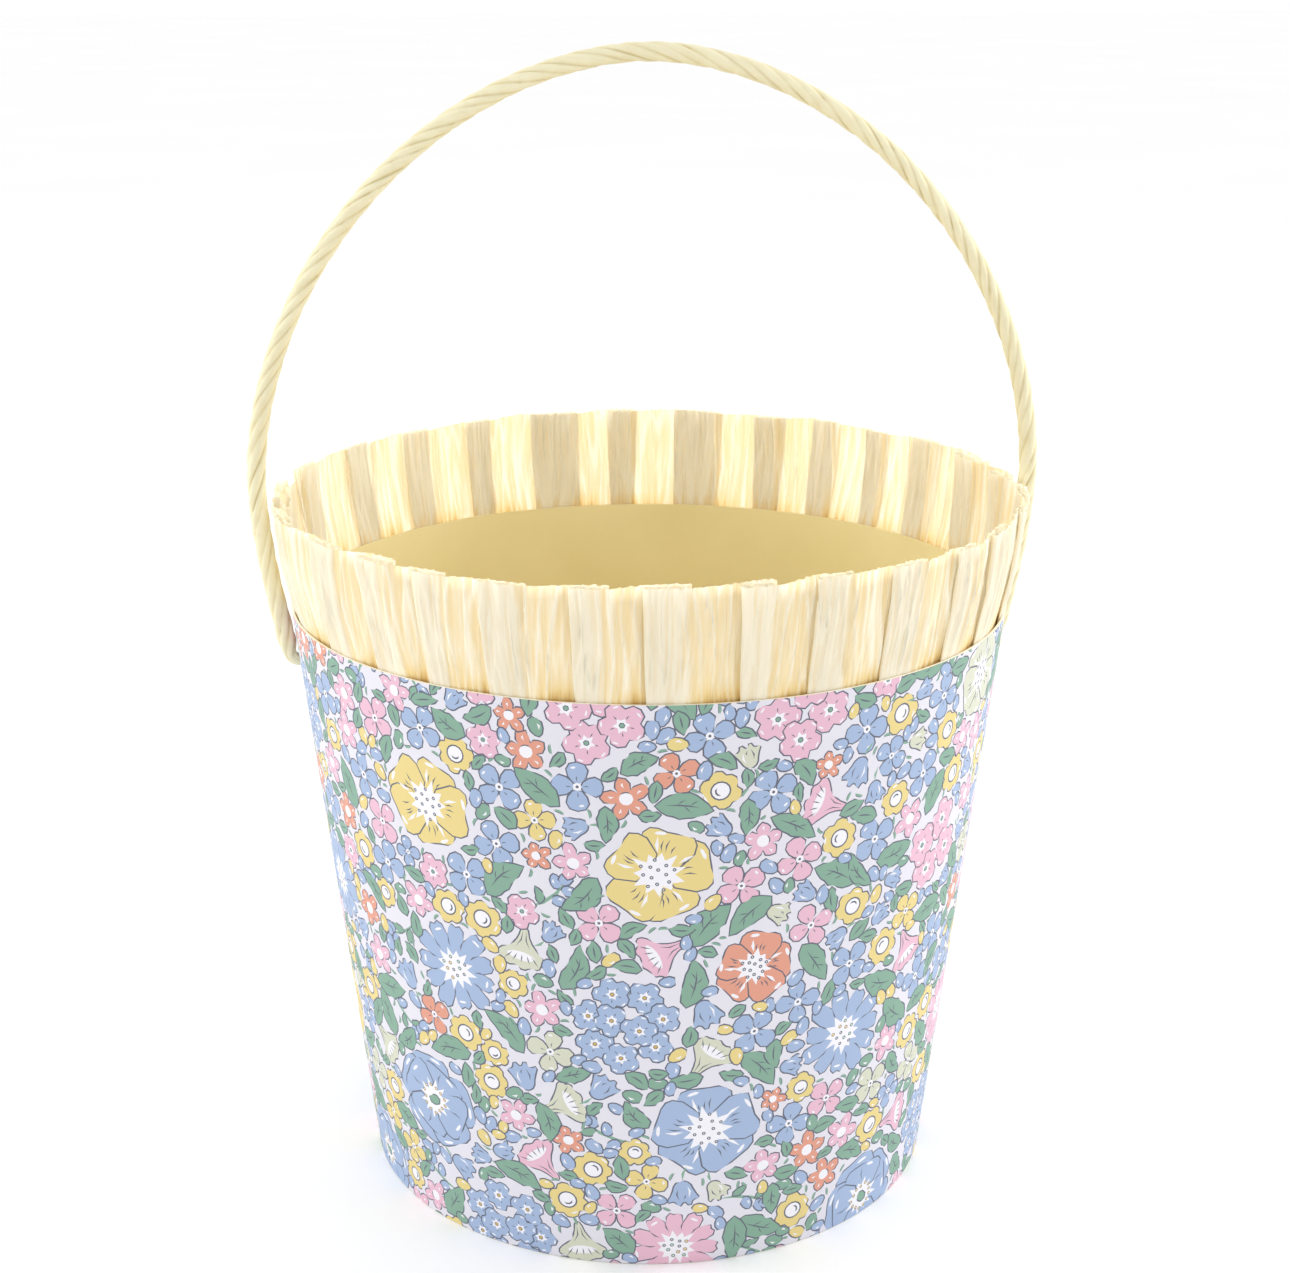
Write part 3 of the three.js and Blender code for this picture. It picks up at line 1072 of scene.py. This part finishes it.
def liner_sleeve():
    """The smooth yellow card inside, with the step of its glued overlap at the back left."""
    inset = RIM_R + (LINER_HIGH.z - HEIGHT) * tan(SLOPE) - LINER_HIGH.x
    corners, faces = plain_corners(180, 6)
    materials = [yellow_look()]

    def outer(z):
        return wall_radius(z) - inset

    piece = card_sleeve("yellow_liner", corners, faces, [0] * len(faces), materials, outer,
                        LINER_LOW.z, LINER_HIGH.z, CARD, LINER_SEAM)
    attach(piece, "basket")
    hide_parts("liner_sleeve")


# ---------------------------------------------------------------- the frill
PLEATS = 29
FRILL_COLUMN = 0.27
FRILL_ROWS = 20
# how far apart the layers lie where the sleeves hold them
TUCK_SPREAD = 0.42
# a fold's rounded edge, and how much of each lap lies flat
FOLD_STEPS = 5
FOLD_STEP = 0.2
HELD_SHARE = 0.8
# room between the outer layer and the sleeve, and how far the cut edge lies below the frame's
HELD_GAP = 0.2
EDGE_DROP = 0.35
# the share of the height, just above the rim, over which painted shade darkens the folds
POCKET_SHADE_SHARE = 0.16


def pleat_folds(rng):
    """For each pleat: where its outer fold is, how far its inner fold lies behind, and how wide it opens."""
    widths = [rng.uniform(0.75, 1.3) for _ in range(PLEATS)]
    total = sum(widths)
    folds = []
    angle = 0.0
    for width in widths:
        step = TURN * width / total
        angle += step
        opening = rng.uniform(0.35, 0.9) if rng.random() < 0.6 else rng.uniform(1.3, 2.3)
        folds.append((angle, step * rng.uniform(0.34, 0.52), opening))
    return folds


def frill_columns(rng):
    """Places along the strip: (angle, layer, a fold's bulge, how deep in a lap, opening, length so far)."""
    folds = pleat_folds(rng)
    radius = FRILL_HIGH.x
    columns = []
    run = 0.0

    def turn_over(angle, layer, side, opening):
        """The rounded fold where the paper turns back over itself."""
        nonlocal run
        for k in range(FOLD_STEPS):
            swing = pi * (k + 0.5) / FOLD_STEPS
            columns.append((angle, layer + (1 - cos(swing)) / 2, side * sin(swing), 1.0, opening, run))
            run += FOLD_STEP

    for i, (outer, back, opening) in enumerate(folds):
        last_outer, last_back, last_opening = folds[i - 1]
        if i == 0:
            last_outer -= TURN
        inner = last_outer - last_back
        length = (outer - inner) * radius
        steps = round(length / FRILL_COLUMN)
        hold_in = HELD_SHARE * last_back * radius / length
        hold_out = HELD_SHARE * back * radius / length
        for k in range(steps):
            t = k / steps
            u = min(max((t - hold_in) / (1 - hold_in - hold_out), 0), 1)
            lap = max(1 - t * length / (last_back * radius), 1 - (1 - t) * length / (back * radius), 0)
            mix = last_opening + (opening - last_opening) * t
            columns.append((inner + (outer - inner) * t, 2 - 2 * eased(u), 0.0, min(1, lap * 5), mix,
                            run + length * t))
        run += length
        turn_over(outer, 0, 1, opening)
        length = back * radius
        steps = round(length / FRILL_COLUMN)
        for k in range(steps):
            t = k / steps
            columns.append((outer - back * t, 1.0, 0.0, 1.0, opening, run + length * t))
        run += length
        turn_over(outer - back, 1, -1, opening)
    return columns, run


def frill_look():
    """Thin crepe paper that lets light through. Its colour has painted shade low down and in its hollows, and
    painted light on its crests and laps.
    """
    look = Look("crepe_paper", (252, 243, 216), 0.8)
    look.shader.inputs["Specular IOR Level"].default_value = 0.2
    streaks = look.noise(1500, 3, 0.6, stretch=(1, 1, 0.05))
    # the ramp runs from painted light, pale cream, to painted shade, deep gold
    shown = look.vary_colour(look.stored("painted_frill_shading", streaks, 0.14), (252, 245, 224), (212, 168, 86), 0, 1,
                             ((0.3, (245, 229, 192)), (0.6, (240, 216, 160))))
    look.bump(streaks, 0.6, 0.16)
    glow = look.node("ShaderNodeBsdfTranslucent")
    look.link(shown, glow.inputs["Color"])
    mix = look.node("ShaderNodeMixShader", Fac=0.23)
    look.link(look.shader.outputs["BSDF"], mix.inputs[1])
    look.link(glow.outputs["BSDF"], mix.inputs[2])
    look.link(mix.outputs["Shader"], look.output.inputs["Surface"])
    return look.material


def crepe_wrinkle(along, z, above):
    """How far the paper stands out here, and its creases, ribs and fine ribs, which all run upward."""
    drift = along + 1.1 * noise.noise(Vector((along * 0.1, z * 0.06, 3.0)))
    broad = noise.noise(Vector((drift * 0.2, z * 0.02, 1.0)))

    def crest(across, upward, layer, sharp):
        """A thin ridge where the noise passes through nought."""
        value = noise.noise(Vector((drift * across, z * upward, layer)))
        return (1 - min(1.0, sharp * abs(value))) ** 2

    crease = crest(0.33, 0.035, 5.0, 4.2)
    rib = crest(0.8, 0.045, 9.0, 3.2)
    fine = crest(1.7, 0.05, 15.0, 2.4)
    free = min(1.0, 0.25 + 5 * above)
    return free * (0.45 * above * broad + 0.55 * crease + 0.32 * rib + 0.14 * fine - 0.3), crease, rib, fine


def frill():
    """A knife-pleated strip of crepe paper, pressed flat where the two sleeves hold it."""
    rng = random.Random(7)
    columns, run = frill_columns(rng)
    low, top = FRILL_LOW.z, FRILL_HIGH.z
    rise = top - HEIGHT
    tuck_r = RIM_R - CARD - HELD_GAP
    count = len(columns)
    points, painted_shading = [], []
    for j in range(FRILL_ROWS + 1):
        v = j / FRILL_ROWS
        for angle, layer, bulge, lap, opening, along in columns:
            around = Vector((cos(angle) * 11, sin(angle) * 11, 3.0))
            edge = 0.9 * noise.noise(around * 0.4) + 0.3 * noise.noise(Vector((along * 0.9, 5.0, 0)))
            z = low + (top - EDGE_DROP + edge - low) * v
            above = max(0.0, (z - HEIGHT) / rise)
            spread = TUCK_SPREAD + opening * above ** 0.65
            lean = above * (1.0 * noise.noise(around * 0.45) + 0.5 * noise.noise(around * 1.3))
            base = tuck_r - (RIM_R - wall_radius(min(z, HEIGHT)))
            flare = (FRILL_HIGH.x - tuck_r + 0.4) * (1 - (1 - min(above, 1.0)) ** 1.6)
            ply = spread * 0.5 * bulge / FRILL_HIGH.x
            wrinkle, crease, rib, fine = crepe_wrinkle(along, z, above)
            radius = base + flare - layer * spread + lean + wrinkle
            points.append((radius * cos(angle + ply), -radius * sin(angle + ply), z))
            # painted shade: the folds are darkened just above the rim, where the layers hide each other from
            # the light
            painted_pocket_shade = max(0.0, 1 - above / POCKET_SHADE_SHARE) * min(1.0, layer)
            # painted light and shade: crests, ribs and laps are made lighter, the hollows between them darker
            painted_shading.append(0.4 - 0.28 * lap + 0.5 * painted_pocket_shade - 0.42 * crease - 0.26 * rib - 0.16 * fine)
    faces = [(b, a, d, c) for a, b, c, d in tube_faces(count, FRILL_ROWS)]
    piece = new_piece("crepe_frill", points, faces, [frill_look()])
    store(piece, "painted_frill_shading", painted_shading)
    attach(piece, "basket")
    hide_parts("frill")


# ---------------------------------------------------------------- the handle
ARCH_FULLNESS = 1.87
ELBOW_R = 2.7
LEG_LEAN = radians(9.5)
ROPE_R = (ROPE_HIGH.y - ROPE_LOW.y) / 2
ARCH_TOP = ROPE_HIGH.z - ROPE_R
ARCH_HALF = ROPE_HIGH.x - ROPE_R
WIDEST_Z = 174
ARCH_STEPS = 80
LEG_STEPS = 24
ELBOW_STEPS = 8
UPPER_PULL = 15
LOWER_PULL = 10
END_INSIDE = 4.2


def bezier(a, b, c, d, t):
    u = 1 - t
    return (a * u ** 3 + b * (3 * u * u * t) + c * (3 * u * t * t) + d * t ** 3)


def handle_half_line():
    """The right half of the handle's centreline in the XZ plane, from the top to inside the wall."""
    line = []
    for i in range(ARCH_STEPS):
        angle = pi / 2 * (1 - i / ARCH_STEPS)
        line.append(Vector((ARCH_HALF * cos(angle) ** (2 / ARCH_FULLNESS),
                            WIDEST_Z + (ARCH_TOP - WIDEST_Z) * sin(angle) ** (2 / ARCH_FULLNESS))))
    elbow_x = wall_radius(HINGE_Z) + 0.1
    elbow = Vector((elbow_x, HINGE_Z + ELBOW_R))
    end = elbow + Vector((cos(LEG_LEAN), -sin(LEG_LEAN))) * ELBOW_R
    start = Vector((ARCH_HALF, WIDEST_Z))
    pull = end + Vector((sin(LEG_LEAN), cos(LEG_LEAN))) * LOWER_PULL
    upper = start - Vector((0, UPPER_PULL))
    line += [bezier(start, upper, pull, end, i / LEG_STEPS) for i in range(LEG_STEPS)]
    for i in range(ELBOW_STEPS + 1):
        angle = -LEG_LEAN + (LEG_LEAN - pi / 2) * i / ELBOW_STEPS
        line.append(elbow + Vector((cos(angle), sin(angle))) * ELBOW_R)
    line.append(Vector((elbow_x - END_INSIDE, HINGE_Z)))
    return line


def even_points(line, step):
    """The line's points spread evenly, about step apart."""
    lengths = [0.0]
    for a, b in zip(line, line[1:]):
        lengths.append(lengths[-1] + (b - a).length)
    count = round(lengths[-1] / step)
    xs = np.interp(np.linspace(0, lengths[-1], count + 1), lengths, [p.x for p in line])
    zs = np.interp(np.linspace(0, lengths[-1], count + 1), lengths, [p.y for p in line])
    return [Vector((x, 0, z)) for x, z in zip(xs, zs)]


def rope_look():
    """Twisted crepe paper, with painted shade making it deeper in colour down in the creases of its folds."""
    look = Look("twisted_crepe", (232, 223, 188), 0.8)
    look.shader.inputs["Specular IOR Level"].default_value = 0.25
    mottled = look.noise(260, 4, 0.6)
    # the ramp's darker end is painted shade in the creases
    look.vary_colour(look.stored("painted_crease_shade", mottled, 0.5), (238, 231, 198), (212, 194, 140), 0.2, 1.2)
    look.bump(look.noise(1800, 3), 0.3, 0.08)
    return look.material


BOUND_R = 1.45
BOUND_LENGTH = 6.5
BOUND_TAPER = 5
ROPE_STEP = 0.55
ROPE_SIDES = 56
TWIST_PITCH = 32
FOLDS = (0.0, 0.19, 0.44, 0.61, 0.83)


def fold_height(share, along):
    """The outline of the twisted paper across its section: rounded folds with sharp creases between them."""
    edges = [f + 0.035 * noise.noise(Vector((along * 0.05, 4.0 * f, 2.0))) for f in FOLDS]
    edges.append(edges[0] + 1)
    place = share if share >= edges[0] else share + 1
    for low, high in zip(edges, edges[1:]):
        if low <= place <= high:
            v = (place - low) / (high - low)
            return 0.2 * (sin(pi * v) ** 0.5) + 0.07 * v
    return 0.0


def handle_rope():
    """Crepe paper wound round the wire: a few broad folds and many fine ones, all in one twist."""
    half = even_points(handle_half_line(), ROPE_STEP)
    line = [Vector((-p.x, 0, p.z)) for p in reversed(half[1:])] + half
    count = len(line)
    side = Vector((0, 1, 0))
    points, painted_shading = [], []
    for i, centre in enumerate(line):
        ahead = line[min(i + 1, count - 1)] - line[max(i - 1, 0)]
        ahead.normalize()
        up = side.cross(ahead)
        along = i * ROPE_STEP
        from_end = min(i, count - 1 - i) * ROPE_STEP
        narrow = min(max((from_end - BOUND_LENGTH) / BOUND_TAPER, 0), 1)
        size = BOUND_R + (ROPE_R - BOUND_R) * eased(narrow)
        uneven = 1 + 0.05 * noise.noise(Vector((along * 0.06, 3.0, 0)))
        for k in range(ROPE_SIDES):
            angle = TURN * k / ROPE_SIDES
            twist = angle + TURN * along / TWIST_PITCH
            share = twist / TURN % 1
            spot = Vector((cos(twist) * 2.4, sin(twist) * 2.4, along * 0.02))
            fine = 0.05 * noise.noise(spot * 2.3) + 0.05 * (1 - 2 * abs(noise.noise(spot * 4.6)))
            height = fold_height(share, along) + fine
            # painted shade: the deeper the crease between folds, the darker
            painted_shading.append(max(0.0, 1 - height / 0.2))
            radius = size * uneven * (0.81 + height)
            points.append(centre + (side * cos(angle) + up * sin(angle)) * radius)
    faces = tube_faces(ROPE_SIDES, count - 1)
    faces.append(tuple(reversed(range(ROPE_SIDES))))
    faces.append(tuple((count - 1) * ROPE_SIDES + k for k in range(ROPE_SIDES)))
    piece = new_piece("twisted_paper_handle", points, faces, [rope_look()])
    store(piece, "painted_crease_shade", painted_shading)
    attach(piece, "handle")
    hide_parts("handle_rope", "handle_bound_end_left", "handle_bound_end_right")


# ---------------------------------------------------------------- pieces kept from the frame
def board_look():
    look = Look("grey_board", (186, 174, 152), 0.85)
    look.vary_colour(look.noise(700, 4, 0.7), (172, 160, 138), (200, 189, 168))
    look.bump(look.noise(900, 3), 0.3, 0.08)
    return look.material


def paper_look():
    look = Look("white_paper", (242, 240, 234), 0.75)
    look.vary_colour(look.noise(500, 4, 0.7), (237, 235, 228), (246, 244, 239))
    look.bump(look.noise(1100, 3), 0.2, 0.04)
    return look.material


def wire_look():
    look = Look("steel_wire", (176, 180, 184), 0.35)
    look.shader.inputs["Metallic"].default_value = 1
    look.vary_roughness(look.noise(800, 2), 0.28, 0.45)
    look.bump(look.noise(1500, 2), 0.15, 0.02)
    return look.material


def dress_kept_nodes():
    """The hidden and plain pieces keep their CAD shapes and get their real materials."""
    yellow, board, paper, wire = yellow_look(), board_look(), paper_look(), wire_look()
    looks = {
        "floor_card": yellow,
        "hole_patch_left": yellow,
        "hole_patch_right": yellow,
        "base_board": board,
        "base_hoop": board,
        "base_cover": paper,
        "handle_wire": wire,
    }
    for node, material in looks.items():
        part = frame["nodes"][node]
        part.data.materials.clear()
        part.data.materials.append(material)


add_camera()
add_studio()
printed_sleeve()
liner_sleeve()
frill()
handle_rope()
dress_kept_nodes()

as_lists = [[[float(c) for c in corner] for corner in found] for found in (CAD_BOX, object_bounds())]
